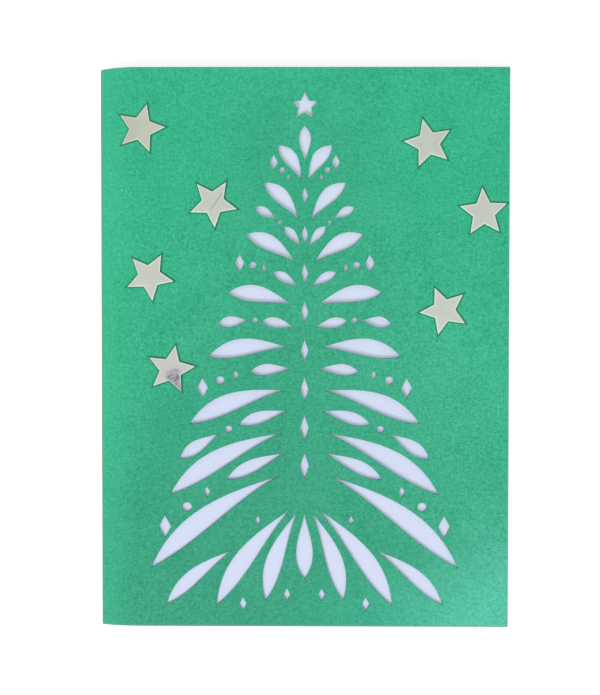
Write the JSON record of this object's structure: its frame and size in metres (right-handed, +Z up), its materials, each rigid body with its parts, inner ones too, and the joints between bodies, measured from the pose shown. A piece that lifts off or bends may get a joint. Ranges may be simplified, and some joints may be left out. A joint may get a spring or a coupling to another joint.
{
  "type": "christmas card",
  "caption": "Folded greeting card lying closed, its front leaf pierced with a fir tree of leaves, dots and diamonds and set with foil stars, with a folded white sheet inside.",
  "frame": {"origin": "on the table under the middle of the card's outline", "axes": "+X from the fold to the open edge, +Y to the top of the card, +Z up out of the front leaf"},
  "size_m": [0.13, 0.177, 0.0064],
  "materials": {
    "green_card": "matte mottled card stock",
    "white_paper": "smooth matte paper",
    "foil": "satin silver foil"
  },
  "bodies": {
    "root": {"card": "green_card", "insert_sheet": "white_paper", "foil_star_1": "foil", "foil_star_2": "foil", "foil_star_3": "foil", "foil_star_4": "foil", "foil_star_5": "foil", "foil_star_6": "foil", "foil_star_7": "foil"}
  },
  "joints": []
}
